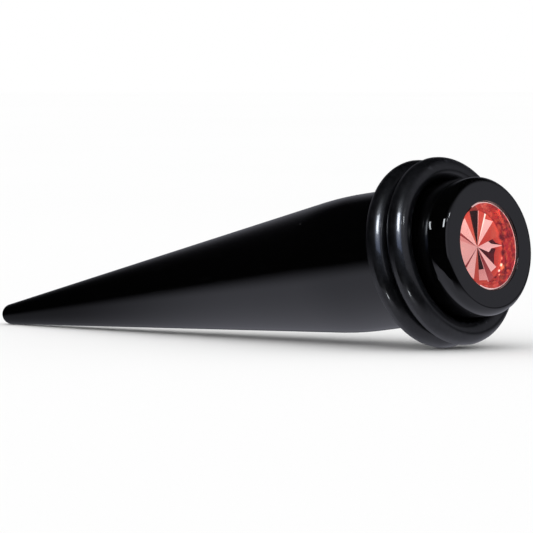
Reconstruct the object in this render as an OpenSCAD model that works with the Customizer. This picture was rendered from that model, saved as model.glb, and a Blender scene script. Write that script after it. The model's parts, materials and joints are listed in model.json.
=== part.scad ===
// Ear stretching taper with two rubber rings and a cut stone, lying as it rests on its rear ring and its nose.
// Sizes in millimetres. The floor is z = 0, and the head points along +X.

/* [Taper] */
// Diameter of the straight part that the ear is worn on
body_d = 10; // [9:0.5:12]
// Length from the front face to the end of the nose
body_len = 49.2; // [46:0.2:56]
// Distance from the front face to the shoulder, where the cone starts
shoulder_at = 12.8; // [12:0.1:15]
// Radius of the large arc that rounds the shoulder
shoulder_r = 32; // [16:1:40]
// Radius of the nose
nose_r = 0.78; // [0.6:0.02:1]
// Radius of the rounded edge of the front face
edge_r = 0.9; // [0.5:0.05:1.2]

/* [Rings] */
// Thickness of each rubber ring
ring_t = 1.78; // [1.5:0.01:1.8]
// Clearance between a ring's inside and the straight part, before the ring leans
ring_slack = 0.05; // [0.05:0.01:0.08]
// Distance from the front face to the middle of the front ring
front_ring_at = 3.55; // [3.5:0.01:3.6]
// Distance from the front face to the middle of the rear ring
rear_ring_at = 5.46; // [5.46:0.01:5.5]
// How far the front ring's top leans back, in degrees
front_ring_lean = 4.5; // [4:0.1:4.8]
// How far the rear ring's top leans back, in degrees
rear_ring_lean = 3.8; // [3.6:0.1:4]
// How far the front ring is turned about its upright, in degrees
front_ring_turn = 3; // [2.6:0.1:3.2]
// How far the rear ring is turned about its upright, in degrees
rear_ring_turn = 2.2; // [2:0.1:2.6]
// How far each ring is rolled round the shaft, which turns the joint of its cord off the floor, in degrees
ring_roll = 2.2; // [0:0.1:360]

/* [Stone] */
// Diameter of the stone over its corners
stone_d = 6.26; // [5.6:0.02:6.8]
// Depth of the stone's table below the front face
stone_recess = 0.15; // [0.1:0.05:0.4]
// Height and inward run of the bevel round the table
stone_bevel = 0.1; // [0.06:0.02:0.16]
// Height of the upright girdle
stone_girdle = 0.12; // [0.08:0.02:0.3]
// Depth of the pavilion, from the girdle to its point
stone_pavilion = 1.8; // [1.4:0.05:2.2]
// Diameter of the shallow star in the bottom of the pavilion, over its corners
star_d = 5.12; // [4.8:0.04:5.4]
// How far the star's point lies below its corners
star_drop = 0.15; // [0.1:0.05:0.3]
// Number of facets round the pavilion, in each of its two tiers
stone_facets = 16; // [12:1:24]
// Gap between the stone and its pocket
stone_gap = 0.05; // [0.03:0.01:0.08]

/* [Hidden] */

round_fn = 96;
shoulder_steps = 6;
nose_steps = 8;
edge_steps = 6;
// The front edge turns through this angle before it meets the flat face
edge_turn = 60;

body_r = body_d / 2;
ring_r = ring_t / 2;
ring_centre_r = body_r + ring_slack + ring_r;
face_r = body_r - edge_r * (1 - cos(edge_turn));

// Half angle of the cone that runs from the shoulder's corner and just touches the nose's ball
cone_run = body_len - nose_r - shoulder_at;
cone_half = atan2(body_r, cone_run) - asin(nose_r / norm([body_r, cone_run]));
shoulder_z = body_len - shoulder_at + shoulder_r * tan(cone_half / 2);

pocket_r = stone_d / 2 + stone_gap;
table_z = body_len - stone_recess;
crown_z = table_z - stone_bevel;
girdle_z = crown_z - stone_girdle;
point_z = girdle_z - stone_pavilion;
star_z = point_z + star_drop;

// Angle at which the taper lies, with its rear ring and its nose on the floor
rear_ring_z = body_len - rear_ring_at;
rest_run = rear_ring_z - nose_r + ring_centre_r * sin(rear_ring_lean);
rest_rise = ring_centre_r * cos(rear_ring_lean);
rest_tilt = atan2(rest_rise, rest_run) + asin((ring_r - nose_r) / norm([rest_run, rest_rise]));
rest_x_max = body_len * cos(rest_tilt) + face_r * sin(rest_tilt);
rest_x_min = nose_r * (cos(rest_tilt) - 1);
rest_lift = nose_r * (1 - sin(rest_tilt));

// Points of an arc about a centre, as [radius, height]
function arc(centre, r, from, to, steps) =
    [for (i = [0:steps]) let (a = from + (to - from) * i / steps) centre + r * [cos(a), sin(a)]];

// Points of one ring of the stone's corners
function stone_ring(r, z) =
    [for (i = [0:stone_facets - 1]) let (a = 360 * i / stone_facets) [r * cos(a), r * sin(a), z]];

// Side faces between two rings of corners, the lower ring first
function stone_band(low, high) =
    [for (i = [0:stone_facets - 1]) let (j = (i + 1) % stone_facets) [low + i, high + i, high + j, low + j]];

// The nose's end is at the origin and the front face looks up
module stand_to_rest() {
    translate([-(rest_x_max + rest_x_min) / 2, 0, rest_lift])
        rotate([0, 90 - rest_tilt, 0])
            children();
}

// One turned piece: nose, cone, shoulder, straight part, soft front edge, stone pocket
module taper_body() {
    color("#101012")
        stand_to_rest()
            rotate_extrude($fn = round_fn)
                polygon(concat(
                    arc([0, nose_r], nose_r, -90, -cone_half, nose_steps),
                    arc([body_r - shoulder_r, shoulder_z], shoulder_r, -cone_half, 0, shoulder_steps),
                    arc([body_r - edge_r, body_len - edge_r * sin(edge_turn)], edge_r, 0, edge_turn, edge_steps),
                    [[pocket_r, body_len],
                     [pocket_r, girdle_z - stone_gap],
                     [star_d / 2 + stone_gap, star_z - stone_gap],
                     [0, point_z - stone_gap]]));
}

// A rubber ring that leans and turns a little on the straight part, as a hand leaves it
module o_ring(at, lean, turn) {
    color("#26272b")
        stand_to_rest()
            translate([0, 0, body_len - at])
                rotate([-turn, -lean, 0])
                    rotate([0, 0, ring_roll])
                        rotate_extrude($fn = round_fn)
                            translate([ring_centre_r, 0])
                                circle(r = ring_r, $fn = round_fn);
}

module o_ring_front() {
    o_ring(front_ring_at, front_ring_lean, front_ring_turn);
}

module o_ring_rear() {
    o_ring(rear_ring_at, rear_ring_lean, rear_ring_turn);
}

// Round cut stone: flat table, bevelled crown, upright girdle, steep pavilion and a shallow star at the bottom
module stone() {
    table_r = stone_d / 2 - stone_bevel;
    girdle = stone_facets;
    crown = 2 * stone_facets;
    table = 3 * stone_facets;
    point = 4 * stone_facets;
    color("#d8404a")
        stand_to_rest()
            polyhedron(
                points = concat(
                    stone_ring(star_d / 2, star_z),
                    stone_ring(stone_d / 2, girdle_z),
                    stone_ring(stone_d / 2, crown_z),
                    stone_ring(table_r, table_z),
                    [[0, 0, point_z]]),
                faces = concat(
                    stone_band(0, girdle),
                    stone_band(girdle, crown),
                    stone_band(crown, table),
                    [[for (i = [stone_facets - 1:-1:0]) table + i]],
                    [for (i = [0:stone_facets - 1]) [i, (i + 1) % stone_facets, point]]));
}

taper_body();
o_ring_front();
o_ring_rear();
stone();
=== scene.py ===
"""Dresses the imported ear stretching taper: a turned black shaft, two rubber rings and a foil-backed stone."""

import json
import logging
import math
import random
from collections.abc import Callable, Sequence
from dataclasses import dataclass
from enum import Enum
from functools import reduce

import bpy
from bpy.types import Material, MeshPolygon, MeshVertex, Node, NodeSocket, NodeTree, Object
from mathutils import Matrix, Vector


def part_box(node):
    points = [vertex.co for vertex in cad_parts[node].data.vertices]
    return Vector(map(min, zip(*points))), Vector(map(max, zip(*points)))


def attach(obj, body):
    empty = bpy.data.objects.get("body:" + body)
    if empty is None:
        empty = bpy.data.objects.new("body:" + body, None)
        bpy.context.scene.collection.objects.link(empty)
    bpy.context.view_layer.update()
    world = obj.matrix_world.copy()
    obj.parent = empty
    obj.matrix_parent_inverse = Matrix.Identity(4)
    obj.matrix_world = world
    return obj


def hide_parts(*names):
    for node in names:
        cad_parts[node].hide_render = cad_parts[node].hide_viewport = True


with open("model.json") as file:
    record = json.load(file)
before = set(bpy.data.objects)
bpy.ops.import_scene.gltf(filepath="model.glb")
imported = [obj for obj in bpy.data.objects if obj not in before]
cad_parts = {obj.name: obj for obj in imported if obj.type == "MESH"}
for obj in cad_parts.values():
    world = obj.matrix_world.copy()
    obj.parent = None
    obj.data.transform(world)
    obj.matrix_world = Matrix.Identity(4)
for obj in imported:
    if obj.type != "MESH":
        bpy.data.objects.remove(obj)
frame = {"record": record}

MM = 0.001
LOG = logging.getLogger("taper")

Colour = tuple[float, float, float]
Point = tuple[float, float]
Line = tuple[Point, ...]


class Slot(Enum):
    """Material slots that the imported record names."""

    ACRYLIC = "acrylic"
    RUBBER = "rubber"
    STONE = "stone"


Pieces = dict[Slot, list[Object]]


class Parts(Enum):
    """What is selected of a piece in edit mode."""

    CORNERS = "VERT"
    FACES = "FACE"


class Fill(Enum):
    """How a new ring of corners is filled."""

    OPEN = "NOTHING"
    FAN = "TRIFAN"
    ONE_FACE = "NGON"


class PaintedReflection(Enum):
    """How a facet of the foil behind the stone is coloured with painted reflections, at its low end and at its
    high end: pale and cream ones for bright reflections, wine, ink and dark ones for dark reflections.
    """

    PALE = ((0.84, 0.47, 0.43), (0.86, 0.52, 0.47))
    CREAM = ((0.95, 0.74, 0.66), (1.0, 0.90, 0.78))
    LINE = ((0.72, 0.34, 0.31), (0.72, 0.34, 0.31))
    ROSE = ((0.62, 0.27, 0.25), (0.74, 0.34, 0.31))
    DEEP = ((0.48, 0.11, 0.075), (0.52, 0.070, 0.050))
    EMBER = ((0.50, 0.050, 0.036), (0.56, 0.090, 0.060))
    WINE = ((0.12, 0.016, 0.018), (0.38, 0.065, 0.065))
    INK = ((0.030, 0.005, 0.006), (0.090, 0.010, 0.014))
    DARK = ((0.018, 0.004, 0.004), (0.018, 0.005, 0.005))
    CRIMSON = ((0.36, 0.030, 0.042), (0.30, 0.028, 0.040))
    SCARLET = ((0.46, 0.060, 0.048), (0.42, 0.052, 0.048))
    # The rim's painted highlight, pale pink-white
    SILVER = ((0.95, 0.66, 0.64), (0.98, 0.74, 0.72))


@dataclass(frozen=True)
class Facet:
    """A facet of the star, coloured with a painted reflection. Its angles run clockwise from the top, in
    degrees, as the stone is looked at.

    Lines of angles and radii in millimetres part the facet, and each has the painted reflection of what lies
    beyond it.
    """

    end: float
    painted_reflection: PaintedReflection
    beyond: tuple[tuple[PaintedReflection, Line], ...] = ()


@dataclass(frozen=True)
class PaintedCloud:
    """A cloudy second colour in the pavilion's wall, a painted reflection, with its share, its size in
    millimetres and its seed.
    """

    colour: Colour
    share: float
    size: float
    seed: float


@dataclass(frozen=True)
class PaintedSpot:
    """A soft spot painted in the pavilion's wall, a painted highlight or a dark painted reflection: angle in
    degrees, height up the wall, size and added glow, which is painted light.
    """

    angle: float
    height: float
    size: float
    colour: Colour
    light: float = 0.0


@dataclass(frozen=True)
class Ramp:
    """A soft step between a start and an end, from a bottom value to a top value."""

    start: float | NodeSocket
    end: float | NodeSocket
    top: float = 1.0
    bottom: float = 0.0


@dataclass(frozen=True)
class Lie:
    """Where the taper lies: its nose end, the direction from there to the front face, and its length."""

    nose_end: Vector
    ahead: Vector
    length: float

    @classmethod
    def from_record(cls, record: dict, nose_r: float) -> "Lie":
        """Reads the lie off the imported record's mounts and the CAD box.

        Args:
            record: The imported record.
            nose_r: Radius of the nose in metres.

        Returns:
            The lie of the taper in the row's frame.
        """
        face = next(mount for mount in record["mounts"] if mount["name"] == "front_face")
        ahead = Vector(face["axis"]).normalized()
        low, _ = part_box("taper_body")
        nose_end = Vector((low[0] + nose_r, 0.0, nose_r)) - ahead * nose_r
        return cls(nose_end, ahead, (Vector(face["pos_m"]) - nose_end).dot(ahead))

    @property
    def tilt(self) -> float:
        """Angle between the taper's axis and the floor, in radians."""
        return math.atan2(self.ahead.z, self.ahead.x)

    @property
    def matrix(self) -> Matrix:
        """Turns a piece drawn upright on its nose into the lying taper."""
        return Matrix.Translation(self.nose_end) @ Matrix.Rotation(math.pi / 2 - self.tilt, 4, "Y")

    @property
    def face_centre(self) -> Vector:
        """Middle of the front face."""
        return self.nose_end + self.ahead * self.length


class Bench:
    """The few hand operations that every piece is made with."""

    # A corner this near to another, or to a cut, counts as lying on it
    TOUCH = 1e-7

    @staticmethod
    def clear() -> None:
        """Leaves edit mode and deselects everything."""
        if bpy.context.object is not None and bpy.context.object.mode != "OBJECT":
            bpy.ops.object.mode_set(mode="OBJECT")
        bpy.ops.object.select_all(action="DESELECT")

    @staticmethod
    def take(piece: Object) -> None:
        """Makes one piece the only selected and active one.

        Args:
            piece: The piece.
        """
        Bench.clear()
        piece.select_set(True)
        bpy.context.view_layer.objects.active = piece

    @staticmethod
    def open(name: str) -> Object:
        """Names the primitive that was added last, applies its place and opens it in edit mode, all selected.

        Args:
            name: Name of the new piece.

        Returns:
            The new piece, in edit mode.
        """
        piece = bpy.context.object
        piece.name = piece.data.name = name
        bpy.ops.object.transform_apply(location=True, rotation=True, scale=True)
        bpy.ops.object.mode_set(mode="EDIT")
        bpy.ops.mesh.select_all(action="SELECT")
        return piece

    @staticmethod
    def ring(name: str, radius: float, height: float, corners: int, fill: Fill = Fill.OPEN) -> Object:
        """Adds a ring of corners round the upright axis and opens it in edit mode, all selected.

        Args:
            name: Name of the new piece.
            radius: Radius of the ring in metres.
            height: Height of the ring in metres.
            corners: Number of corners.
            fill: How the ring is filled.

        Returns:
            The new piece, in edit mode.
        """
        Bench.clear()
        bpy.ops.mesh.primitive_circle_add(
            vertices=corners, radius=radius, fill_type=fill.value, location=(0.0, 0.0, height)
        )
        return Bench.open(name)

    @staticmethod
    def select(piece: Object, kind: Parts, wanted: Callable[[MeshVertex | MeshPolygon], bool]) -> None:
        """Selects the corners or the faces of a piece in edit mode that pass a test.

        Args:
            piece: The piece, in edit mode.
            kind: Whether corners or faces are selected.
            wanted: Says of a corner or a face whether it is selected.
        """
        bpy.ops.mesh.select_mode(type=kind.value)
        bpy.ops.mesh.select_all(action="DESELECT")
        bpy.ops.object.mode_set(mode="OBJECT")
        for part in piece.data.vertices if kind is Parts.CORNERS else piece.data.polygons:
            part.select = wanted(part)
        bpy.ops.object.mode_set(mode="EDIT")

    @staticmethod
    def close(piece: Object) -> None:
        """Welds doubled corners, turns all faces outwards and leaves edit mode.

        Args:
            piece: The piece, in edit mode.
        """
        bpy.ops.mesh.select_all(action="SELECT")
        bpy.ops.mesh.remove_doubles(threshold=Bench.TOUCH)
        bpy.ops.mesh.normals_make_consistent(inside=False)
        bpy.ops.object.mode_set(mode="OBJECT")
        piece.data.update()

    @staticmethod
    def finish(piece: Object, place: Matrix, material: Material, smooth: float | None = None) -> Object:
        """Shades a piece, bakes its place into its mesh and gives it its material.

        Args:
            piece: The piece, drawn upright on its nose.
            place: Where the piece goes.
            material: The finish.
            smooth: Edges sharper than this angle in degrees stay sharp. Without it every face is flat.

        Returns:
            The piece.
        """
        Bench.take(piece)
        if smooth is None:
            bpy.ops.object.shade_flat()
        else:
            bpy.ops.object.shade_smooth_by_angle(angle=math.radians(smooth))
        piece.matrix_world = place
        bpy.ops.object.transform_apply(location=True, rotation=True, scale=True)
        piece.data.materials.append(material)
        return piece


class NodeSheet:
    """A node tree that is written one node at a time."""

    def __init__(self, tree: NodeTree) -> None:
        """Takes the tree to write in."""
        self.tree = tree

    @classmethod
    def of_material(cls, name: str) -> tuple[Material, "NodeSheet", Node]:
        """Starts a material.

        Args:
            name: Name of the material.

        Returns:
            The material, its sheet and its shader node.
        """
        material = bpy.data.materials.new(name)
        material.use_nodes = True
        return material, cls(material.node_tree), material.node_tree.nodes["Principled BSDF"]

    def join(self, source: NodeSocket | float | Sequence[float], target: NodeSocket) -> None:
        """Links a socket to another, or writes a plain value into it.

        Args:
            source: A socket or a value. A plain colour gets an alpha of one.
            target: The input that takes it.
        """
        if isinstance(source, NodeSocket):
            self.tree.links.new(source, target)
        else:
            target.default_value = (*source, 1.0) if target.type == "RGBA" else source

    def feed(self, node: Node, **inputs: object) -> None:
        """Links or writes a node's inputs by name. An underscore in a key stands for a space."""
        for key, value in inputs.items():
            self.join(value, node.inputs[key.replace("_", " ")])

    def node(self, kind: str, label: str = "", **settings: object) -> Node:
        """Adds a node.

        Args:
            kind: The node's type name.
            label: What the node is for.
            settings: Its own properties first, and then its inputs, whose keys start with a capital.

        Returns:
            The new node.
        """
        made = self.tree.nodes.new(kind)
        made.label = label
        for key, value in settings.items():
            if key[0].isupper():
                self.feed(made, **{key: value})
            else:
                setattr(made, key, value)
        return made

    def use(self, group: NodeTree, **values: object) -> bpy.types.NodeOutputs:
        """Places a shared group with its own values, and gives its outputs."""
        return self.node("ShaderNodeGroup", group.name, node_tree=group, **values).outputs

    def _fill(self, made: Node, inputs: Sequence[object]) -> Node:
        """Links or writes a node's inputs in their order.

        Args:
            made: The node.
            inputs: Sockets or values.

        Returns:
            The node.
        """
        for value, socket in zip(inputs, made.inputs):
            self.join(value, socket)
        return made

    def math(self, operation: str, *inputs: object, clamp: bool = False) -> NodeSocket:
        """Works out a value from others, and keeps it between 0 and 1 if asked."""
        made = self.node("ShaderNodeMath", operation=operation, use_clamp=clamp)
        return self._fill(made, inputs).outputs[0]

    def measure(self, operation: str, *places: object) -> NodeSocket:
        """Measures between two places or directions: their DISTANCE or their DOT_PRODUCT."""
        return self._fill(self.node("ShaderNodeVectorMath", operation=operation), places).outputs["Value"]

    def times(self, *factors: object) -> NodeSocket:
        """Multiplies values."""
        return reduce(lambda first, second: self.math("MULTIPLY", first, second), factors)

    def sum(self, start: object, *parts: tuple[object, float]) -> NodeSocket:
        """Adds weighted values to a start value.

        Args:
            start: The start value or its socket.
            parts: Each value with its weight.

        Returns:
            The sum's socket.
        """
        for value, weight in parts:
            start = self.math("MULTIPLY_ADD", value, weight, start)
        return start

    def ease(self, value: object, ramp: Ramp) -> NodeSocket:
        """Takes a value through a soft step."""
        made = self.node("ShaderNodeMapRange", interpolation_type="SMOOTHSTEP")
        return self._fill(made, (value, ramp.start, ramp.end, ramp.bottom, ramp.top)).outputs[0]

    def blend(self, share: object, first: object, second: object, how: str = "MIX") -> NodeSocket:
        """Blends two colours by the share of the second."""
        made = self.node("ShaderNodeMix", data_type="RGBA", blend_type=how, Factor=share, A=first, B=second)
        return made.outputs["Result"]

    def fade(self, share: object, first: object, second: object) -> NodeSocket:
        """Blends two numbers by the share of the second."""
        made = self.node("ShaderNodeMix", data_type="FLOAT", Factor=share, A=first, B=second)
        return made.outputs["Result"]

    def noise(
        self, place: NodeSocket, size: float | NodeSocket, label: str, **settings: object
    ) -> NodeSocket:
        """Adds a noise.

        Args:
            place: Where it is read.
            size: Size of its cells in millimetres.
            label: What it is for.
            settings: More settings, as for a node.

        Returns:
            The noise's value.
        """
        scale = self.math("DIVIDE", 1.0 / MM, size) if isinstance(size, NodeSocket) else 1.0 / (size * MM)
        return self.node("ShaderNodeTexNoise", label, **settings, Vector=place, Scale=scale).outputs["Fac"]

    def bump(self, height: NodeSocket, strength: float, depth: float) -> NodeSocket:
        """Makes a normal from a height, whose value of one is a depth in metres."""
        return self.node("ShaderNodeBump", Strength=strength, Distance=depth, Height=height).outputs["Normal"]


class Effects:
    """Shader node groups that more than one finish uses. They put out only heights and masks."""

    DRIFT_EDGE = Ramp(0.3, 0.7)
    SMALLEST_SPECK = 0.3
    # Pointiness of a face without an edge
    FLAT = 0.5
    BROKEN_EDGE = Ramp(0.4, 0.65)

    @staticmethod
    def _group(
        name: str, inputs: dict[str, float], outputs: Sequence[str]
    ) -> tuple[NodeSheet, bpy.types.NodeOutputs, Node]:
        """Starts a node group that works on object coordinates.

        Args:
            name: Name of the group.
            inputs: Its number inputs and their defaults.
            outputs: Names of its number outputs.

        Returns:
            The group's sheet, the sockets of its inputs and its output node.
        """
        tree = bpy.data.node_groups.new(name, "ShaderNodeTree")
        tree.interface.new_socket("Place", in_out="INPUT", socket_type="NodeSocketVector")
        for key, value in inputs.items():
            given = tree.interface.new_socket(key, in_out="INPUT", socket_type="NodeSocketFloat")
            given.default_value = value
        for key in outputs:
            tree.interface.new_socket(key, in_out="OUTPUT", socket_type="NodeSocketFloat")
        sheet = NodeSheet(tree)
        return sheet, sheet.node("NodeGroupInput").outputs, sheet.node("NodeGroupOutput")

    @staticmethod
    def grain() -> NodeTree:
        """Fine moulded grain with a slow drift in it.

        Returns:
            A group with a Height for Bump and a Drift mask for colour and roughness.
        """
        sheet, given, put = Effects._group("Grain", {"Size mm": 0.05, "Drift mm": 2.0}, ("Height", "Drift"))
        fine = sheet.noise(given["Place"], given["Size mm"], "fine grain", Detail=3.0)
        slow = sheet.noise(given["Place"], given["Drift mm"], "slow drift", Detail=2.0)
        sheet.feed(put, Height=fine, Drift=sheet.ease(slow, Effects.DRIFT_EDGE))
        return sheet.tree

    @staticmethod
    def specks() -> NodeTree:
        """Dust: small separate specks of different sizes, most cells bare.

        Returns:
            A group with a Mask of the specks.
        """
        values = {"Spacing mm": 0.5, "Size": 0.1, "Share": 0.3}
        sheet, given, put = Effects._group("Specks", values, ("Mask",))
        scale = sheet.math("DIVIDE", 1.0 / MM, given["Spacing mm"])
        cells = sheet.node("ShaderNodeTexVoronoi", "one speck a cell", Vector=given["Place"], Scale=scale)
        pick = sheet.node("ShaderNodeSeparateColor", "random pick", Color=cells.outputs["Color"])
        size = sheet.times(given["Size"], sheet.math("ADD", pick.outputs["Green"], Effects.SMALLEST_SPECK))
        inside = sheet.math("LESS_THAN", cells.outputs["Distance"], size)
        chosen = sheet.math("LESS_THAN", pick.outputs["Red"], given["Share"])
        sheet.feed(put, Mask=sheet.times(inside, chosen))
        return sheet.tree

    @staticmethod
    def wear() -> NodeTree:
        """Rubbed edges, broken up by a noise.

        Returns:
            A group with a Mask of the worn edges.
        """
        sheet, given, put = Effects._group("Edge wear", {"Break mm": 0.4, "Reach": 0.06}, ("Mask",))
        bend = sheet.node("ShaderNodeNewGeometry", "convex edges").outputs["Pointiness"]
        broken = sheet.noise(given["Place"], given["Break mm"], "broken up")
        edge = sheet.math("DIVIDE", sheet.math("SUBTRACT", bend, Effects.FLAT), given["Reach"], clamp=True)
        sheet.feed(put, Mask=sheet.times(edge, sheet.ease(broken, Effects.BROKEN_EDGE)))
        return sheet.tree


@dataclass(frozen=True)
class Finish:
    """What the finishes share: the node groups, and the lie that their patterns follow."""

    lie: Lie
    grain: NodeTree
    specks: NodeTree
    wear: NodeTree

    def _start(self, name: str) -> tuple[Material, NodeSheet, Node, NodeSocket]:
        """Starts a material whose patterns follow the upright taper.

        Args:
            name: Name of the material.

        Returns:
            The material, its sheet, its shader node and the socket of the upright place.
        """
        material, sheet, shader = NodeSheet.of_material(name)
        upright = sheet.node(
            "ShaderNodeMapping",
            "upright on the nose",
            vector_type="TEXTURE",
            Vector=sheet.node("ShaderNodeTexCoord").outputs["Object"],
            Location=self.lie.nose_end,
            Rotation=(0.0, math.pi / 2 - self.lie.tilt, 0.0),
        )
        return material, sheet, shader, upright.outputs["Vector"]


@dataclass(frozen=True)
class PolishedAcrylic(Finish):
    """Black acrylic, turned and then polished: faint turning rings, hairline scuffs, a few specks of dust.

    The polish is a clear coat that is thin at the nose and full where the cone is thick.
    """

    colour: Colour = (0.0004, 0.0004, 0.00045)
    haze: Colour = (0.003, 0.003, 0.0034)
    dust: Colour = (0.05, 0.05, 0.052)
    ior: float = 1.49
    under_polish: float = 0.10
    polish: Ramp = Ramp(6.0 * MM, 29.0 * MM, top=0.80)
    turning_scale: float = 0.35 / MM
    turning_waver: float = 0.4
    turning_depth: float = 0.35
    hair_mm: float = 0.25
    hair_drawn: Colour = (1.0, 1.0, 0.06)
    hair_edge: Ramp = Ramp(0.62, 0.74)
    gloss: float = 0.035
    worn_gloss: float = 0.10
    uneven_gloss: float = 0.02
    dust_gloss: float = 0.5
    dust_height: float = 4.0
    relief: Point = (0.25, 0.0008 * MM)

    def make(self) -> Material:
        """Makes the material.

        Returns:
            The material.
        """
        material, sheet, shader, place = self._start("polished_black_acrylic")
        grain = sheet.use(self.grain, Place=place, Size_mm=0.25, Drift_mm=5.0)
        wear = sheet.use(self.wear, Place=place, Break_mm=0.5, Reach=0.08)["Mask"]
        dust = sheet.use(self.specks, Place=place, Spacing_mm=1.1, Size=0.035, Share=0.12)["Mask"]
        along = sheet.node("ShaderNodeSeparateXYZ", "place along the taper", Vector=place).outputs["Z"]
        turning = sheet.node(
            "ShaderNodeTexWave",
            "turning rings",
            wave_type="BANDS",
            bands_direction="Z",
            Vector=place,
            Scale=self.turning_scale,
            Distortion=self.turning_waver,
        ).outputs["Fac"]
        drawn = sheet.node("ShaderNodeMapping", "drawn out along it", Vector=place, Scale=self.hair_drawn)
        hair = sheet.noise(drawn.outputs["Vector"], self.hair_mm, "hairline scuffs", Detail=5.0)
        worn = sheet.math("MAXIMUM", sheet.times(sheet.ease(hair, self.hair_edge), grain["Drift"]), wear)
        skin = sheet.blend(dust, sheet.blend(worn, self.colour, self.haze), self.dust)
        uneven = ((worn, self.worn_gloss), (grain["Drift"], self.uneven_gloss), (dust, self.dust_gloss))
        height = sheet.sum(grain["Height"], (turning, self.turning_depth), (dust, self.dust_height))
        sheet.feed(
            shader,
            Base_Color=skin,
            Roughness=sheet.sum(self.gloss, *uneven),
            IOR=self.ior,
            Specular_IOR_Level=self.under_polish,
            Coat_Weight=sheet.ease(along, self.polish),
            Coat_Roughness=self.gloss,
            Coat_IOR=self.ior,
            Normal=sheet.bump(height, *self.relief),
        )
        return material


@dataclass(frozen=True)
class SatinRubber(Finish):
    """Moulded black rubber: fine grain, a slow change of tone, a little dust and the skin of new rubber."""

    colour: Colour = (0.0012, 0.0013, 0.0016)
    bloom: Colour = (0.0032, 0.0035, 0.0048)
    rubbed: Colour = (0.018, 0.019, 0.024)
    dust: Colour = (0.12, 0.12, 0.125)
    ior: float = 1.50
    gloss: float = 0.26
    uneven_gloss: float = 0.07
    grain_gloss: float = 0.05
    under_skin: float = 0.21
    skin: float = 0.44
    uneven_skin: float = -0.12
    skin_gloss: float = 0.08
    dust_height: float = 1.5
    relief: Point = (0.50, 0.003 * MM)

    def make(self) -> Material:
        """Makes the material.

        Returns:
            The material.
        """
        material, sheet, shader, place = self._start("satin_black_rubber")
        grain = sheet.use(self.grain, Place=place, Size_mm=0.08, Drift_mm=1.6)
        wear = sheet.use(self.wear, Place=place, Break_mm=0.3, Reach=0.05)["Mask"]
        dust = sheet.use(self.specks, Place=place, Spacing_mm=0.6, Size=0.045, Share=0.16)["Mask"]
        drift, fine = grain["Drift"], grain["Height"]
        colour = sheet.blend(wear, sheet.blend(drift, self.colour, self.bloom), self.rubbed)
        sheet.feed(
            shader,
            Base_Color=sheet.blend(dust, colour, self.dust),
            Roughness=sheet.sum(self.gloss, (drift, self.uneven_gloss), (fine, self.grain_gloss)),
            IOR=self.ior,
            Specular_IOR_Level=self.under_skin,
            Coat_Weight=sheet.sum(self.skin, (drift, self.uneven_skin)),
            Coat_Roughness=self.skin_gloss,
            Coat_IOR=self.ior,
            Normal=sheet.bump(sheet.sum(fine, (dust, self.dust_height)), *self.relief),
        )
        return material


@dataclass(frozen=True)
class RedGlass(Finish):
    """Clear red-tinted glass with faint polishing marks."""

    colour: Colour = (1.0, 0.80, 0.80)
    streak: Colour = (0.97, 0.776, 0.776)
    glint: Colour = (0.35, 0.30, 0.30)
    ior: float = 1.52
    gloss: float = 0.01
    uneven_gloss: float = 0.012
    dust_gloss: float = 0.4
    relief: Point = (0.1, 0.0006 * MM)

    def make(self) -> Material:
        """Makes the material.

        Returns:
            The material.
        """
        material, sheet, shader, place = self._start("red_cut_glass")
        grain = sheet.use(self.grain, Place=place, Size_mm=0.12, Drift_mm=1.2)
        dust = sheet.use(self.specks, Place=place, Spacing_mm=0.5, Size=0.04, Share=0.2)["Mask"]
        sheet.feed(
            shader,
            Base_Color=sheet.blend(grain["Drift"], self.colour, self.streak),
            Roughness=sheet.sum(self.gloss, (grain["Drift"], self.uneven_gloss), (dust, self.dust_gloss)),
            IOR=self.ior,
            Specular_Tint=self.glint,
            Transmission_Weight=1.0,
            Normal=sheet.bump(grain["Height"], *self.relief),
        )
        return material


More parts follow.
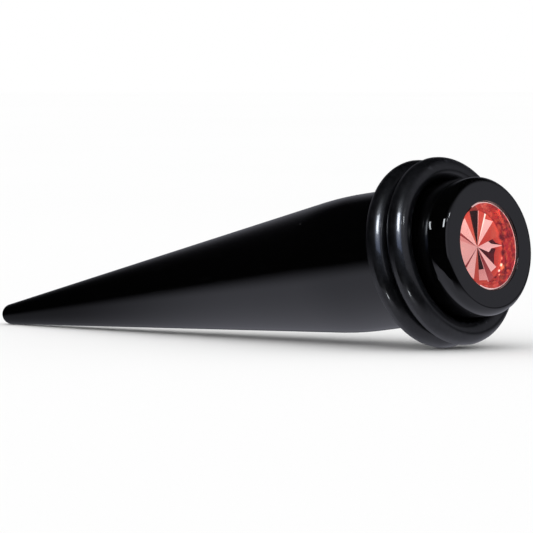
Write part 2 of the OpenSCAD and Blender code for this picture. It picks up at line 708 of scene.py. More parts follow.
@dataclass(frozen=True)
class FacetFoil(Finish):
    """Mirror foil behind the stone, in its facets' painted reflections. A part of each colour glows as painted
    light, standing in for light that the foil catches.
    """

    gloss: float = 0.16
    wall_gloss: float = 0.07
    uneven_gloss: float = 0.05
    painted_glow: float = 0.62
    # Painted shade of creases in the foil: a darker tint for patches of a slow noise
    crease_shade_colour: Colour = (0.90, 0.78, 0.80)
    crease_shade_share: float = 0.35
    relief: Point = (0.15, 0.002 * MM)
    painted_cloud_edge: Point = (0.47, 0.64)
    painted_cloud_waver: float = 0.8
    painted_clouds: tuple[PaintedCloud, ...] = (
        PaintedCloud((0.14, 0.010, 0.022), share=0.85, size=0.55, seed=3.0),
        PaintedCloud((0.50, 0.11, 0.06), share=0.80, size=0.40, seed=8.0),
    )
    painted_spot_waver: float = 0.10 * MM
    painted_spot_fringe: float = 0.05
    painted_spot_core: float = 0.35
    # Painted highlights, of which the brightest also glow as painted light, and dark painted reflections
    painted_spots: tuple[PaintedSpot, ...] = (
        PaintedSpot(10.0, 0.50, 0.42, (0.46, 0.085, 0.060)),
        PaintedSpot(60.0, 0.20, 0.30, (0.48, 0.11, 0.065)),
        PaintedSpot(76.0, 0.06, 0.34, (0.12, 0.012, 0.028)),
        PaintedSpot(91.0, 0.10, 0.26, (0.16, 0.012, 0.022)),
        PaintedSpot(101.0, 0.07, 0.34, (0.12, 0.012, 0.022)),
        PaintedSpot(110.0, 0.02, 0.16, (0.80, 0.28, 0.20), 0.2),
        PaintedSpot(125.0, 0.18, 0.32, (0.95, 0.32, 0.14), 0.2),
        PaintedSpot(121.0, 0.07, 0.20, (1.0, 0.84, 0.62), 1.2),
        PaintedSpot(132.0, 0.07, 0.18, (1.0, 0.88, 0.74), 1.2),
        PaintedSpot(139.0, 0.22, 0.16, (0.95, 0.42, 0.28), 0.4),
        PaintedSpot(147.0, 0.08, 0.20, (0.08, 0.008, 0.018)),
        PaintedSpot(158.0, 0.30, 0.26, (0.52, 0.12, 0.08)),
        PaintedSpot(176.0, 0.45, 0.30, (0.50, 0.10, 0.065)),
    )

    def make(self, cut: "CutStone") -> Material:
        """Makes the material.

        Args:
            cut: The cut of the stone, on whose wall the painted spots lie.

        Returns:
            The material.
        """
        material, sheet, shader, place = self._start("foil_with_painted_light")
        grain = sheet.use(self.grain, Place=place, Size_mm=0.10, Drift_mm=0.9)
        # The painted reflections of the facets, read from the foil's corners
        painted_reflection = sheet.node("ShaderNodeAttribute", "facet tints", attribute_name=StoneFoil.PAINTED_REFLECTIONS)
        wall = painted_reflection.outputs["Alpha"]
        colour = painted_reflection.outputs["Color"]
        # Dark and orange clouds in the wall: painted reflections
        for painted_cloud in self.painted_clouds:
            cloud = sheet.noise(
                place,
                painted_cloud.size,
                "mottled wall",
                noise_dimensions="4D",
                W=painted_cloud.seed,
                Detail=4.0,
                Distortion=self.painted_cloud_waver,
            )
            mask = sheet.times(sheet.ease(cloud, Ramp(*self.painted_cloud_edge, top=painted_cloud.share)), wall)
            colour = sheet.blend(mask, colour, painted_cloud.colour)
        # Painted light: a share of every colour glows
        light = self.painted_glow
        # Painted highlights and dark painted reflections in the wall, some adding painted light
        for painted_spot in self.painted_spots:
            away = sheet.measure("DISTANCE", place, cut.on_wall(painted_spot.angle, painted_spot.height))
            reach = Ramp((painted_spot.size + self.painted_spot_fringe) * MM, painted_spot.size * self.painted_spot_core * MM)
            mask = sheet.ease(sheet.sum(away, (grain["Height"], self.painted_spot_waver)), reach)
            colour = sheet.blend(mask, colour, painted_spot.colour)
            if painted_spot.light:
                light = sheet.sum(light, (mask, painted_spot.light))
        # Painted shade of creases: the colour is darkened in patches of a slow noise
        painted_crease_shade = sheet.times(grain["Drift"], self.crease_shade_share)
        crease_shaded_colour = sheet.blend(painted_crease_shade, colour, self.crease_shade_colour, how="MULTIPLY")
        # Painted light: the glowing share of each colour feeds the emission
        painted_glow_colour = sheet.node("ShaderNodeVectorMath", operation="SCALE", Vector=crease_shaded_colour, Scale=light)
        smoother = (wall, self.wall_gloss - self.gloss)
        sheet.feed(
            shader,
            Base_Color=crease_shaded_colour,
            Emission_Color=painted_glow_colour.outputs["Vector"],
            Emission_Strength=1.0,
            Roughness=sheet.sum(self.gloss, smoother, (grain["Drift"], self.uneven_gloss)),
            Metallic=1.0,
            Normal=sheet.bump(grain["Height"], *self.relief),
        )
        return material


def heading(azimuth: float, elevation: float) -> Vector:
    """Direction at an azimuth, clockwise from straight ahead, and an elevation, both in degrees."""
    turn, rise = math.radians(azimuth), math.radians(elevation)
    return Vector((math.sin(turn) * math.cos(rise), math.cos(turn) * math.cos(rise), math.sin(rise)))


def sweep(start: float, end: float, top: float = 1.0) -> Ramp:
    """A soft step between two azimuths in degrees."""
    return Ramp(math.radians(start), math.radians(end), top)


def arc(centre: Point, radius: float, start: float, end: float, steps: int) -> list[Point]:
    """Points of an arc in the profile plane.

    Args:
        centre: Radius and height of the arc's centre.
        radius: The arc's radius.
        start: First angle in degrees, from the outward direction.
        end: Last angle in degrees.
        steps: Number of steps between them.

    Returns:
        Radius and height of each point, the first and last included.
    """
    angles = [math.radians(start + (end - start) * step / steps) for step in range(steps + 1)]
    return [(centre[0] + radius * math.cos(angle), centre[1] + radius * math.sin(angle)) for angle in angles]


def straight(start: Point, end: Point, steps: int) -> list[Point]:
    """Points between two profile points, without either."""
    parts = [step / steps for step in range(1, steps)]
    return [(start[0] + (end[0] - start[0]) * part, start[1] + (end[1] - start[1]) * part) for part in parts]


def bend(start: Point, corner: Point, end: Point, steps: int) -> list[Point]:
    """Points of a soft bend inside a corner.

    Args:
        start: Where the bend starts.
        corner: The corner that it rounds off.
        end: Where it ends.
        steps: Number of its steps.

    Returns:
        Its points after the start, the end included.
    """
    parts = [step / steps for step in range(1, steps + 1)]
    shares = [((1 - part) ** 2, 2 * part * (1 - part), part * part) for part in parts]
    ends = tuple(zip(start, corner, end))
    return [tuple(a * first + b * turned + c * last for first, turned, last in ends) for a, b, c in shares]


@dataclass
class TaperShaft:
    """The turned shaft: nose, long cone, shoulder, straight part, soft front edge and the stone's pocket."""

    lie: Lie
    radius: float = 5.0 * MM
    nose_r: float = 0.78 * MM
    nose_steps: int = 14
    cone_steps: int = 24
    shoulder_at: float = 12.8 * MM
    shoulder_r: float = 32.0 * MM
    shoulder_steps: int = 14
    wall_steps: int = 10
    run_in_r: float = 15.0 * MM
    run_in_turn: float = 3.0
    run_in_steps: int = 5
    edge_r: float = 0.9 * MM
    edge_turn: float = 60.0
    edge_end: float = 51.0
    edge_steps: int = 12
    edge_blend: float = 0.14 * MM
    face_steps: int = 5
    pocket_r: float = 3.18 * MM
    mouth_r: float = 0.07 * MM
    mouth_steps: int = 6
    pocket_wall_end: float = 0.42 * MM
    pocket_steps: int = 4
    pocket_star: Point = (2.61 * MM, 2.07 * MM)
    pocket_point: float = 2.22 * MM
    corners: int = 256
    crisp: float = 40.0

    @property
    def cone_half(self) -> float:
        """Half angle of the cone, in radians."""
        run = self.lie.length - self.nose_r - self.shoulder_at
        return math.atan2(self.radius, run) - math.asin(self.nose_r / math.hypot(self.radius, run))

    def edge(self) -> list[Point]:
        """Draws the front edge: a shallow run-in, the rounding and a soft bend into the flat face.

        Returns:
            Radius and height of its points, from the straight part to the face.
        """
        length, rise = self.lie.length, math.radians(self.edge_turn)
        slack = (self.run_in_r - self.edge_r) * (1 - math.cos(math.radians(self.run_in_turn)))
        centre = (self.radius - self.edge_r - slack, length - self.edge_r * math.sin(rise))
        edge = arc(centre, self.edge_r, self.run_in_turn, self.edge_end, self.edge_steps)
        run_in_z = edge[0][1] - self.run_in_r * math.sin(math.radians(self.run_in_turn))
        middle = (self.radius - self.run_in_r, run_in_z)
        run_in = arc(middle, self.run_in_r, 0.0, self.run_in_turn, self.run_in_steps)[:-1]
        corner = (centre[0] + self.edge_r * math.cos(rise), length)
        soft = bend(edge[-1], corner, (corner[0] - self.edge_blend, length), self.face_steps)
        return [*run_in, *edge, *soft]

    def profile(self) -> list[Point]:
        """Draws the whole profile, from the nose to the bottom of the pocket.

        Returns:
            Radius and height of every ring of corners.
        """
        length, half = self.lie.length, math.degrees(self.cone_half)
        shoulder_z = length - self.shoulder_at + self.shoulder_r * math.tan(self.cone_half / 2)
        nose = arc((0.0, self.nose_r), self.nose_r, -90.0, -half, self.nose_steps)[1:]
        middle = (self.radius - self.shoulder_r, shoulder_z)
        shoulder = arc(middle, self.shoulder_r, -half, 0.0, self.shoulder_steps)
        edge = self.edge()
        lip = (self.pocket_r + self.mouth_r, length - self.mouth_r)
        mouth = arc(lip, self.mouth_r, 90.0, 180.0, self.mouth_steps)
        wall_end = (self.pocket_r, length - self.pocket_wall_end)
        star = (self.pocket_star[0], length - self.pocket_star[1])
        point = (0.0, length - self.pocket_point)
        return [
            *nose,
            *straight(nose[-1], shoulder[0], self.cone_steps),
            *shoulder,
            *straight(shoulder[-1], edge[0], self.wall_steps),
            *edge,
            *straight(edge[-1], mouth[0], self.face_steps),
            *mouth,
            *straight(mouth[-1], wall_end, self.pocket_steps),
            wall_end,
            *straight(wall_end, star, self.pocket_steps),
            star,
            *straight(star, point, self.face_steps),
        ]

    def build(self, finish: Material) -> Object:
        """Turns the shaft by extruding one ring of corners along its profile.

        Args:
            finish: The acrylic.

        Returns:
            The shaft, in its place.
        """
        rings = self.profile()
        first_r, first_z = rings[0]
        piece = Bench.ring("shaft", first_r, first_z, self.corners, fill=Fill.FAN)
        Bench.select(piece, Parts.CORNERS, lambda corner: corner.co.xy.length < first_r / 2)
        bpy.ops.transform.translate(value=(0.0, 0.0, -first_z))
        Bench.select(piece, Parts.CORNERS, lambda corner: corner.co.xy.length > first_r / 2)
        for (last_r, last_z), (ring_r, ring_z) in zip(rings, rings[1:]):
            bpy.ops.mesh.extrude_edges_move(TRANSFORM_OT_translate={"value": (0.0, 0.0, ring_z - last_z)})
            bpy.ops.transform.resize(value=(ring_r / last_r, ring_r / last_r, 1.0))
        drop = self.lie.length - self.pocket_point - rings[-1][1]
        bpy.ops.mesh.extrude_edges_move(TRANSFORM_OT_translate={"value": (0.0, 0.0, drop)})
        bpy.ops.mesh.merge(type="CENTER")
        Bench.close(piece)
        return Bench.finish(piece, self.lie.matrix, finish, self.crisp)


@dataclass
class RubberRing:
    """A moulded rubber ring with its thin flash line, leaning as a hand left it."""

    # Beyond this share of the section's radius a corner counts as its outermost or innermost one
    UTMOST = 0.9999

    name: str
    lie: Lie
    at: float
    lean: float
    turn: float
    middle_r: float = 5.94 * MM
    thickness: float = 1.78 * MM
    flash: float = 0.010 * MM
    shy: float = 0.004 * MM
    round_corners: int = 84
    steps: int = 240
    crisp: float = 50.0

    def build(self, finish: Material) -> Object:
        """Spins the ring's round section about the shaft.

        Args:
            finish: The rubber.

        Returns:
            The ring, in its place.
        """
        tube = self.thickness / 2 - self.flash - self.shy
        piece = Bench.ring(self.name, tube, 0.0, self.round_corners)
        bpy.ops.transform.rotate(value=math.pi / 2, orient_axis="X", center_override=(0.0, 0.0, 0.0))
        bpy.ops.transform.translate(value=(self.middle_r, 0.0, 0.0))
        utmost = tube * self.UTMOST
        for side in (1, -1):
            Bench.select(piece, Parts.CORNERS, lambda corner: side * (corner.co.x - self.middle_r) > utmost)
            bpy.ops.transform.translate(value=(side * self.flash, 0.0, 0.0))
        bpy.ops.mesh.select_all(action="SELECT")
        bpy.ops.mesh.spin(steps=self.steps, angle=2 * math.pi, center=(0.0, 0.0, 0.0), axis=(0.0, 0.0, 1.0))
        Bench.close(piece)
        lean, turn = math.radians(-self.lean), math.radians(-self.turn)
        leaned = Matrix.Rotation(lean, 4, "Y") @ Matrix.Rotation(turn, 4, "X")
        up = Matrix.Translation((0.0, 0.0, self.lie.length - self.at))
        return Bench.finish(piece, self.lie.matrix @ up @ leaned, finish, self.crisp)


@dataclass
class CutStone:
    """The clear red stone: table, rounded crown, girdle, steep pavilion wall and a shallow star below."""

    lie: Lie
    radius: float = 3.13 * MM
    corners: int = 128
    recess: float = 0.15 * MM
    crown: float = 0.10 * MM
    crown_steps: int = 6
    girdle: float = 0.12 * MM
    pavilion: float = 1.80 * MM
    star_r: float = 2.56 * MM
    star_drop: float = 0.15 * MM
    wall_facets: int = 32
    crisp: float = 17.0
    # The star's facets with their painted reflections: pale and cream for bright ones, wine, ink and dark for
    # dark ones
    star: tuple[Facet, ...] = (
        Facet(8.6, PaintedReflection.DARK),
        Facet(10.6, PaintedReflection.LINE),
        Facet(24.5, PaintedReflection.DEEP),
        Facet(28.0, PaintedReflection.CREAM, ((PaintedReflection.EMBER, ((24.5, 2.18), (28.0, 2.20))),)),
        Facet(47.0, PaintedReflection.PALE, ((PaintedReflection.EMBER, ((28.0, 2.20), (47.0, 2.42))),)),
        Facet(73.0, PaintedReflection.EMBER),
        Facet(
            109.0,
            PaintedReflection.PALE,
            (
                (PaintedReflection.INK, ((73.0, 1.24), (83.0, 1.48), (89.0, 2.16), (95.0, 1.46), (109.0, 1.20))),
                (PaintedReflection.EMBER, ((73.0, 1.72), (83.0, 1.96), (89.0, 2.17), (95.0, 1.90), (109.0, 1.74))),
            ),
        ),
        Facet(130.0, PaintedReflection.INK, ((PaintedReflection.EMBER, ((109.0, 1.74), (130.0, 2.00))),)),
        Facet(148.0, PaintedReflection.PALE, ((PaintedReflection.EMBER, ((130.0, 2.26), (148.0, 2.10))),)),
        Facet(163.0, PaintedReflection.WINE),
        Facet(165.4, PaintedReflection.LINE),
        Facet(
            186.0,
            PaintedReflection.DARK,
            (
                (PaintedReflection.ROSE, ((165.4, 1.60), (186.0, 1.60))),
                (PaintedReflection.EMBER, ((165.4, 2.42), (186.0, 2.34))),
            ),
        ),
        Facet(200.0, PaintedReflection.DEEP),
        Facet(226.0, PaintedReflection.PALE),
        Facet(231.0, PaintedReflection.WINE),
        Facet(260.0, PaintedReflection.PALE),
        Facet(286.0, PaintedReflection.PALE),
        Facet(296.0, PaintedReflection.ROSE),
        Facet(302.0, PaintedReflection.WINE),
        Facet(331.6, PaintedReflection.PALE),
        Facet(347.7, PaintedReflection.DEEP),
    )

    @property
    def table_z(self) -> float:
        """Height of the table."""
        return self.lie.length - self.recess

    @property
    def point_z(self) -> float:
        """Height of the point in which the star's facets meet."""
        return self.table_z - self.crown - self.girdle - self.pavilion

    @staticmethod
    def clock(place: Vector) -> float:
        """Angle of a place round the stone, clockwise from the top in degrees."""
        return (180.0 - math.degrees(math.atan2(place.y, place.x))) % 360.0

    @staticmethod
    def spoke(angle: float, radius: float, height: float = 0.0) -> Vector:
        """Place at a clockwise angle in degrees and a radius round the stone's axis."""
        turn = math.pi - math.radians(angle)
        return Vector((radius * math.cos(turn), radius * math.sin(turn), height))

    def on_wall(self, angle: float, height: float) -> Vector:
        """Place on the pavilion's wall at an angle, from the star's rim (0) up to the girdle (1)."""
        rise = self.star_drop + (self.pavilion - self.star_drop) * height
        return self.spoke(angle, self.star_r + (self.radius - self.star_r) * height, self.point_z + rise)

    def grind(self, name: str, inside: float = 0.0) -> Object:
        """Grinds the wall's facets and the star into a round blank with a rounded crown.

        Args:
            name: Name of the new piece.
            inside: How far inside the stone's own skin the piece's skin lies.

        Returns:
            The piece, in edit mode.
        """
        Bench.clear()
        low, top = self.point_z - self.pavilion, self.table_z - inside
        middle = (0.0, 0.0, (top + low) / 2)
        bpy.ops.mesh.primitive_cylinder_add(
            vertices=self.corners, radius=self.radius - inside, depth=top - low, location=middle
        )
        piece = Bench.open(name)
        Bench.select(piece, Parts.CORNERS, lambda corner: corner.co.z > top - self.crown / 2)
        bpy.ops.mesh.bevel(offset=self.crown, offset_type="OFFSET", segments=self.crown_steps, affect="EDGES")
        wall = math.atan2(self.pavilion - self.star_drop, self.radius - self.star_r)
        angles = [360.0 * (facet + 0.5) / self.wall_facets for facet in range(self.wall_facets)]
        planes = [(angle, self.star_r, self.star_drop, wall) for angle in angles]
        start = self.star[-1].end - 360.0
        for facet in self.star:
            slope = math.atan2(self.star_drop, self.star_r * math.cos(math.radians(facet.end - start) / 2))
            planes.append(((facet.end + start) / 2, 0.0, 0.0, slope))
            start = facet.end
        for angle, out, up, slope in planes:
            normal = self.spoke(angle, math.sin(slope), -math.cos(slope))
            place = self.spoke(angle, out, self.point_z + up) - normal * inside
            bpy.ops.mesh.select_all(action="SELECT")
            bpy.ops.mesh.bisect(
                plane_co=place, plane_no=normal, use_fill=True, clear_outer=True, threshold=Bench.TOUCH
            )
        return piece

    def build(self, finish: Material) -> Object:
        """Cuts the stone.

        Args:
            finish: The glass.

        Returns:
            The stone, in its place.
        """
        piece = self.grind("cut_stone")
        Bench.close(piece)
        return Bench.finish(piece, self.lie.matrix, finish, self.crisp)


@dataclass
class StoneFoil(CutStone):
    """The mirror foil painted on the stone's facets, from the star up over the girdle to the crown's rim. Its
    colours are painted reflections, with a painted highlight at the rim.
    """

    PAINTED_REFLECTIONS = "facet_painted_reflections"

    sunk: float = 0.010 * MM
    thickness: float = 0.014 * MM
    seed: int = 7
    shades: Point = (0.94, 1.0)
    # The crown is left bare between these angles, so the rim's painted highlight is missing there
    bare: Point = (205.0, 335.0)
    # Upright parts of the normals that tell star, wall, crown and table from each other
    star_below: float = -0.9
    wall_below: float = -0.1
    crown_above: float = 0.05
    table_above: float = 0.99
    # Painted reflection on the wall: darker crimson on the side facing this angle, scarlet elsewhere
    crimson_at: float = 97.0
    crimson_spread: float = 1.6
    crimson_less: float = 0.5

    def facet_at(self, place: Vector) -> Facet:
        """Finds the star's facet at a place."""
        return next((facet for facet in self.star if self.clock(place) < facet.end), self.star[0])

    def pieces(self, line: Line) -> list[tuple[float, float, Vector, Vector]]:
        """Takes a line apart.

        Args:
            line: The line.

        Returns:
            Both angles and both ends of each of its straight pieces.
        """
        return [
            (before, after, self.spoke(before, start_r * MM), self.spoke(after, end_r * MM))
            for (before, start_r), (after, end_r) in zip(line, line[1:])
        ]

    def is_beyond(self, line: Line, place: Vector) -> bool:
        """Says whether a line passes between a place and the star's point.

        Args:
            line: The line.
            place: The place.

        Returns:
            Whether it does.
        """
        for before, after, start, end in self.pieces(line):
            if before <= self.clock(place) <= after:
                along = (end - start).xy
                return along.cross((place - start).xy) * along.cross(-start.xy) < 0.0
        return False

    def is_open(self, face: MeshPolygon) -> bool:
        """Says whether the foil leaves a face out: the table, and the crown between the bare angles, so that
        the rim's painted highlight shows on the other side alone.

        Args:
            face: The face.

        Returns:
            Whether it is left out.
        """
        up = face.normal.z
        bare = self.bare[0] < self.clock(face.center) < self.bare[1]
        return up > self.table_above or (up > self.crown_above and bare)

    def score(self, piece: Object, start: Vector, along: Vector, wanted: Callable[[Vector], bool]) -> None:
        """Parts faces of the star along an upright plane.

        Args:
            piece: The foil, in edit mode.
            start: A place on the plane.
            along: A direction in the plane.
            wanted: Says of a face's middle whether the face is parted.
        """
        Bench.select(piece, Parts.FACES, lambda face: face.normal.z < self.star_below and wanted(face.center))
        normal = along.cross(Vector((0.0, 0.0, 1.0)))
        bpy.ops.mesh.bisect(plane_co=start, plane_no=normal, threshold=Bench.TOUCH)

    def part(self, piece: Object, facet: Facet, line: Line) -> None:
        """Parts a facet of the foil into sectors, and each sector along its piece of a line.

        Args:
            piece: The foil, in edit mode.
            facet: The facet.
            line: The line across it.
        """
        for angle, _ in line[1:-1]:
            self.score(piece, Vector(), self.spoke(angle, 1.0), lambda middle: self.facet_at(middle) is facet)
        for before, after, start, end in self.pieces(line):
            self.score(piece, start, end - start, lambda middle: before < self.clock(middle) < after)

    def painted_reflection(self, face: MeshPolygon, corner: Vector, shade: float) -> tuple[float, ...]:
        """Gives a corner of a face its painted reflection.

        Args:
            face: The face.
            corner: The corner's place.
            shade: A small random change for this face.

        Returns:
            The corner's colour, with 1 as its alpha on the pavilion's wall.
        """
        end = 0 if corner.z < face.center.z else 1
        on_wall = self.star_below < face.normal.z < self.wall_below
        if on_wall:
            # Painted reflection on the wall: darker crimson towards crimson_at, scarlet elsewhere
            side = math.cos(math.radians(self.clock(corner) - self.crimson_at))
            share = min(1.0, max(0.0, side * self.crimson_spread - self.crimson_less))
            pairs = zip(PaintedReflection.SCARLET.value[end], PaintedReflection.CRIMSON.value[end])
            colour = tuple(scarlet * (1 - share) + crimson * share for scarlet, crimson in pairs)
        elif face.normal.z < self.star_below:
            facet = self.facet_at(face.center)
            crossed = (kind for kind, line in reversed(facet.beyond) if self.is_beyond(line, face.center))
            colour = next(crossed, facet.painted_reflection).value[end]
        else:
            # Crown and girdle carry the rim's painted highlight
            colour = PaintedReflection.SILVER.value[end]
        return (*(min(1.0, part * shade) for part in colour), float(on_wall))

    def build(self, finish: Material) -> Object:
        """Cuts the foil like the stone, opens it over the table and gives it its painted reflections.

        Args:
            finish: The foil's material.

        Returns:
            The foil, in its place.
        """
        piece = self.grind("foil_with_painted_light", self.sunk)
        Bench.select(piece, Parts.FACES, self.is_open)
        bpy.ops.mesh.delete(type="FACE")
        for facet in self.star:
            for _, line in facet.beyond:
                self.part(piece, facet, line)
        Bench.close(piece)
        Bench.take(piece)
        chance = random.Random(self.seed)
        layer = piece.data.color_attributes.new(self.PAINTED_REFLECTIONS, "FLOAT_COLOR", "CORNER")
        for face in piece.data.polygons:
            shade = chance.uniform(*self.shades)
            for loop in face.loop_indices:
                corner = piece.data.vertices[piece.data.loops[loop].vertex_index].co
                layer.data[loop].color = self.painted_reflection(face, corner, shade)
        solid = piece.modifiers.new("Solidify", "SOLIDIFY")
        solid.thickness = self.thickness
        solid.offset = 1.0
        bpy.ops.object.modifier_apply(modifier=solid.name)
        return Bench.finish(piece, self.lie.matrix, finish)


@dataclass
class StudioCamera:
    """A long lens, low beside the head, at the photograph's angle."""

    lie: Lie
    frame_px: float = 533.0
    focal_px: float = 5000.0
    sensor_mm: float = 36.0
    sight: Point = (0.01, 20.0)
    azimuth: float = 42.25
    elevation: float = 2.65
    distance: float = 0.3545
    face_px: Point = (489.8, 245.3)

    def place(self) -> Object:
        """Places the camera so that the front face falls where it should in the frame.

        Returns:
            The camera.
        """
        turn = math.radians(self.azimuth)
        right = Vector((math.cos(turn), math.sin(turn), 0.0))
        forward = heading(-self.azimuth, -self.elevation)
        up = right.cross(forward)
        across = (self.face_px[0] - self.frame_px / 2) / self.focal_px * self.distance
        above = (self.frame_px / 2 - self.face_px[1]) / self.focal_px * self.distance
        lens = bpy.data.cameras.new("studio_camera")
        lens.sensor_fit = "HORIZONTAL"
        lens.sensor_width = self.sensor_mm
        lens.lens = self.focal_px / self.frame_px * self.sensor_mm
        lens.clip_start, lens.clip_end = self.sight
        camera = bpy.data.objects.new("studio_camera", lens)
        bpy.context.collection.objects.link(camera)
        camera.matrix_world = Matrix((right, up, -forward)).transposed().to_4x4()
        camera.location = self.lie.face_centre - right * across - up * above - forward * self.distance
        bpy.context.scene.camera = camera
        return camera


@dataclass(frozen=True)
class SoftBox:
    """A soft light that shows as a crisp square, or a strip, in the gloss."""

    name: str
    azimuth: float
    elevation: float
    distance: float
    side: float
    radiance: float
    only: Slot | None = None
    colour: Colour = (0.90, 0.95, 1.0)
    width: float | None = None
    turn: float = 0.0

    def hang(self, compass: Matrix, aim: Vector, pieces: Pieces) -> Object:
        """Hangs the box in its direction, turned to what it lights.

        Args:
            compass: Turns the studio's directions into the world's.
            aim: The point that it lights.
            pieces: The pieces by slot. Some boxes light those of one slot alone.

        Returns:
            The light.
        """
        light = bpy.data.lights.new(self.name, "AREA")
        light.shape = "RECTANGLE"
        light.size = self.width or self.side
        light.size_y = self.side
        light.color = self.colour
        light.energy = self.radiance * math.pi * light.size * self.side
        box = bpy.data.objects.new(self.name, light)
        bpy.context.collection.objects.link(box)
        towards = compass @ heading(self.azimuth, self.elevation)
        box.location = aim + towards * self.distance
        faced = towards.to_track_quat("Z", "Y").to_matrix() @ Matrix.Rotation(math.radians(self.turn), 3, "Z")
        box.rotation_euler = faced.to_euler()
        box.visible_camera = box.visible_diffuse = False
        if self.only:
            lit = bpy.data.collections.new(f"lit_by_{self.name}")
            for piece in pieces[self.only]:
                lit.objects.link(piece)
            box.light_linking.receiver_collection = lit
        return box


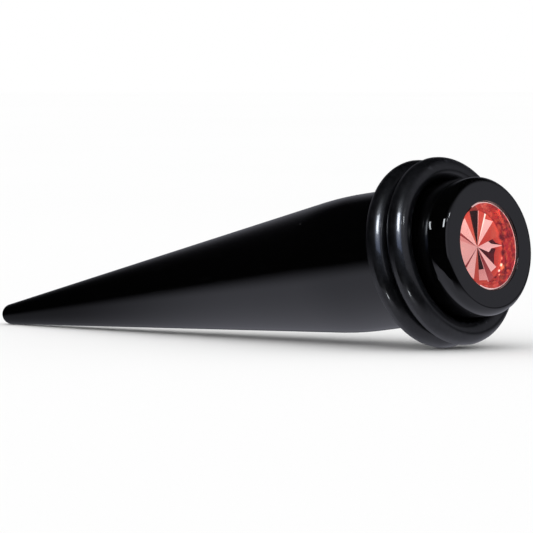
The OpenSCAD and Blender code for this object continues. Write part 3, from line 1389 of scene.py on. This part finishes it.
@dataclass
class Studio:
    """Pale floor, pale surround, soft boxes, and what the gloss sees round them.

    Azimuths are counted from straight behind the taper, as the camera looks, towards the camera's right.
    Heights and depths are those of a direction's unit vector.
    """

    lie: Lie
    floor_r: float = 1.6
    floor_corners: int = 64
    floor_inset: float = 0.5
    floor_tone: float = 0.90
    floor_cloud: float = 6.0
    floor_unevenness: float = 0.01
    dome: float = 1.10
    surround: float = 1.0
    white: Colour = (1.0, 1.0, 1.0)
    gloss_tone: Colour = (0.97, 0.98, 1.13)
    dark: float = 0.005
    card_near: Ramp = sweep(35.0, 95.0, 0.50)
    card_far: Ramp = sweep(100.0, 150.0, 0.28)
    card_end: Ramp = sweep(166.0, 163.0)
    card_top: Ramp = Ramp(0.95, 0.45)
    card_foot: Ramp = Ramp(-0.08, 0.05)
    wall_start: Ramp = sweep(-60.0, -15.0, 0.14)
    wall_end: Ramp = sweep(80.0, 40.0)
    wall_foot: Ramp = Ramp(0.0, 0.12)
    wall_top: Ramp = Ramp(0.6, 0.25)
    table_tone: float = 0.67
    table_rise: float = 0.25
    table_fade: Ramp = Ramp(-0.1, 1.15, 0.56)
    table_left: Ramp = Ramp(0.25, -0.05, top=1.0, bottom=0.55)
    table_blur: Ramp = sweep(-104.0, -98.0)
    blur_start: float = -0.13
    blur_end: float = 0.24
    crisp_end: float = 0.014
    table_ends: Line = (
        (-180.0, 40.0), (-157.0, 39.2), (-144.0, 37.0), (-134.0, 34.0), (-119.0, 31.4),
        (-104.0, 28.0), (-97.3, 9.0), (60.0, 9.0), (100.0, 5.0), (120.0, 15.0),
        (142.0, 30.8), (153.0, 35.5), (166.0, 39.6), (180.0, 40.0),
    )
    boxes: tuple[SoftBox, ...] = (
        SoftBox("key_soft_box", -168.0, 41.5, 0.45, 0.090, 18.0),
        SoftBox("key_for_the_rubber", -168.0, 43.0, 0.44, 0.150, 37.0, only=Slot.RUBBER),
        SoftBox("second_soft_box", 132.0, 37.0, 0.45, 0.036, 34.0),
        SoftBox("third_soft_box", 156.0, 40.0, 0.46, 0.028, 12.0),
        SoftBox("halo_of_the_key", -170.0, 34.0, 0.43, 0.30, 3.3, Slot.RUBBER, colour=(0.50, 0.62, 1.0)),
        SoftBox("key_seen_in_the_table", -148.0, -40.0, 0.30, 0.032, 24.0, only=Slot.RUBBER),
        SoftBox(
            "strip_beside_the_neck", -87.2, 25.9, 0.454, 0.086, 14.0, Slot.ACRYLIC, width=0.005, turn=41.0
        ),
    )

    @property
    def compass(self) -> Matrix:
        """Turns the studio's directions into the world's."""
        return Matrix.Rotation(math.radians(StudioCamera.azimuth), 3, "Z")

    def lay_floor(self) -> Object:
        """Lays the plain pale floor that the taper rests on.

        Returns:
            The floor.
        """
        floor = Bench.ring("studio_floor", self.floor_r, 0.0, self.floor_corners, fill=Fill.ONE_FACE)
        bpy.ops.mesh.inset(thickness=self.floor_r * self.floor_inset)
        Bench.close(floor)
        material, sheet, shader = NodeSheet.of_material("pale_floor")
        place = sheet.node("ShaderNodeTexCoord").outputs["Object"]
        cloud = sheet.node("ShaderNodeTexNoise", "soft unevenness", Vector=place, Scale=self.floor_cloud)
        low, high = ((self.floor_tone + side * self.floor_unevenness,) * 3 for side in (-1, 1))
        tone = sheet.blend(cloud.outputs["Fac"], low, high)
        sheet.feed(shader, Base_Color=tone, Roughness=1.0, Specular_IOR_Level=0.0)
        floor.data.materials.append(material)
        floor.visible_glossy = floor.visible_shadow = False
        return floor

    def surround_world(self) -> bpy.types.World:
        """Makes the surround: pale to the camera, even for soft light, and the dark studio for the gloss.

        Returns:
            The world.
        """
        world = bpy.data.worlds.new("studio_surround")
        bpy.context.scene.world = world
        world.use_nodes = True
        world.cycles.sampling_method = "NONE"
        world.node_tree.nodes.clear()
        sheet = NodeSheet(world.node_tree)
        ray = sheet.node("ShaderNodeLightPath").outputs
        plain = sheet.math("MAXIMUM", ray["Is Diffuse Ray"], ray["Is Camera Ray"])
        strength = sheet.fade(ray["Is Diffuse Ray"], self._reflected(sheet), self.dome)
        light = sheet.node(
            "ShaderNodeBackground",
            Color=sheet.blend(plain, self.gloss_tone, self.white),
            Strength=sheet.fade(ray["Is Camera Ray"], strength, self.surround),
        )
        sheet.node("ShaderNodeOutputWorld", Surface=light.outputs["Background"])
        return world

    def _reflected(self, sheet: NodeSheet) -> NodeSocket:
        """Writes what the gloss sees: a lit table below, a card on the right, a faint wall, dark elsewhere.

        Args:
            sheet: The world's sheet.

        Returns:
            The brightness's socket.
        """
        towards = sheet.node("ShaderNodeTexCoord").outputs["Generated"]
        axes = [self.compass @ axis for axis in Matrix.Identity(3)]
        beside, behind, height = (sheet.measure("DOT_PRODUCT", towards, axis) for axis in axes)
        turn = sheet.math("ARCTAN2", beside, behind)
        card = sheet.math("ADD", sheet.ease(turn, self.card_near), sheet.ease(turn, self.card_far))
        card = sheet.times(card, sheet.ease(turn, self.card_end))
        card = sheet.times(card, sheet.ease(height, self.card_top), sheet.ease(height, self.card_foot))
        wall = sheet.times(sheet.ease(turn, self.wall_start), sheet.ease(turn, self.wall_end))
        wall = sheet.times(wall, sheet.ease(height, self.wall_foot), sheet.ease(height, self.wall_top))
        round_share = sheet.sum(0.5, (turn, 1 / math.tau))
        ends = sheet.node("ShaderNodeFloatCurve", "where the table ends", Value=round_share)
        depths = [(0.5 + azimuth / 360, math.sin(math.radians(depth))) for azimuth, depth in self.table_ends]
        self._draw(ends, depths)
        open_part = sheet.math("SUBTRACT", sheet.times(height, -1.0), ends.outputs["Value"])
        far = sheet.ease(sheet.sum(behind, (height, self.table_rise)), self.table_fade)
        far = sheet.times(far, sheet.ease(beside, self.table_left))
        soft = sheet.ease(turn, self.table_blur)
        edge = Ramp(sheet.times(soft, self.blur_start), sheet.sum(self.crisp_end, (soft, self.blur_end)))
        table = sheet.times(sheet.math("SUBTRACT", self.table_tone, far), sheet.ease(open_part, edge))
        return sheet.math("MAXIMUM", sheet.math("MAXIMUM", card, table), sheet.math("ADD", wall, self.dark))

    @staticmethod
    def _draw(curve: Node, points: Sequence[Point]) -> None:
        """Draws a curve node as straight pieces between points.

        Args:
            curve: The curve node.
            points: Its points, both ends included.
        """
        line = curve.mapping.curves[0]
        for place in points[1:-1]:
            line.points.new(*place)
        for point, place in zip(line.points, points):
            point.location = place
            point.handle_type = "VECTOR"
        curve.mapping.update()

    def set_up(self, pieces: Pieces) -> None:
        """Puts up floor, surround, lights and camera.

        Args:
            pieces: The pieces by slot. Some lights light those of one slot alone.
        """
        self.lay_floor()
        self.surround_world()
        for box in self.boxes:
            box.hang(self.compass, self.lie.face_centre, pieces)
        StudioCamera(self.lie).place()
        bpy.context.scene.view_settings.view_transform = "Standard"


@dataclass
class EarTaper:
    """The whole jewel, piece by piece, each on its CAD node."""

    lie: Lie

    def dress(self) -> Pieces:
        """Builds every visible piece and puts it in the place of its CAD node.

        Returns:
            The pieces by slot.
        """
        shared = (self.lie, Effects.grain(), Effects.specks(), Effects.wear())
        acrylic = PolishedAcrylic(*shared).make()
        rubber = SatinRubber(*shared).make()
        shaft = TaperShaft(self.lie).build(acrylic)
        self.stand_in(shaft, Slot.ACRYLIC, "taper_body")
        front = RubberRing("front_ring", self.lie, at=3.55 * MM, lean=4.5, turn=3.0).build(rubber)
        self.stand_in(front, Slot.RUBBER, "o_ring_front")
        rear = RubberRing("rear_ring", self.lie, at=5.46 * MM, lean=3.8, turn=2.2).build(rubber)
        self.stand_in(rear, Slot.RUBBER, "o_ring_rear")
        stone = CutStone(self.lie).build(RedGlass(*shared).make())
        self.stand_in(stone, Slot.STONE, "stone")
        foil = StoneFoil(self.lie)
        mirror = foil.build(FacetFoil(*shared).make(foil))
        self.stand_in(mirror, Slot.STONE)
        return {Slot.ACRYLIC: [shaft], Slot.RUBBER: [front, rear], Slot.STONE: [stone, mirror]}

    def stand_in(self, piece: Object, slot: Slot, *nodes: str) -> None:
        """Hangs a piece on the one body and hides the CAD nodes that it stands for.

        Args:
            piece: The finished piece.
            slot: The record's material slot. Not used.
            nodes: The CAD nodes that it replaces.
        """
        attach(piece, "root")
        if nodes:
            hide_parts(*nodes)
        LOG.info("%s: %d corners, %d faces", piece.name, len(piece.data.vertices), len(piece.data.polygons))


def main() -> None:
    """Builds the jewel and the studio."""
    logging.basicConfig(level=logging.INFO, format="%(name)s %(message)s")
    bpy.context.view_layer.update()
    lie = Lie.from_record(frame["record"], TaperShaft.nose_r)
    Studio(lie).set_up(EarTaper(lie).dress())
    Bench.clear()


if __name__ == "__main__":
    main()
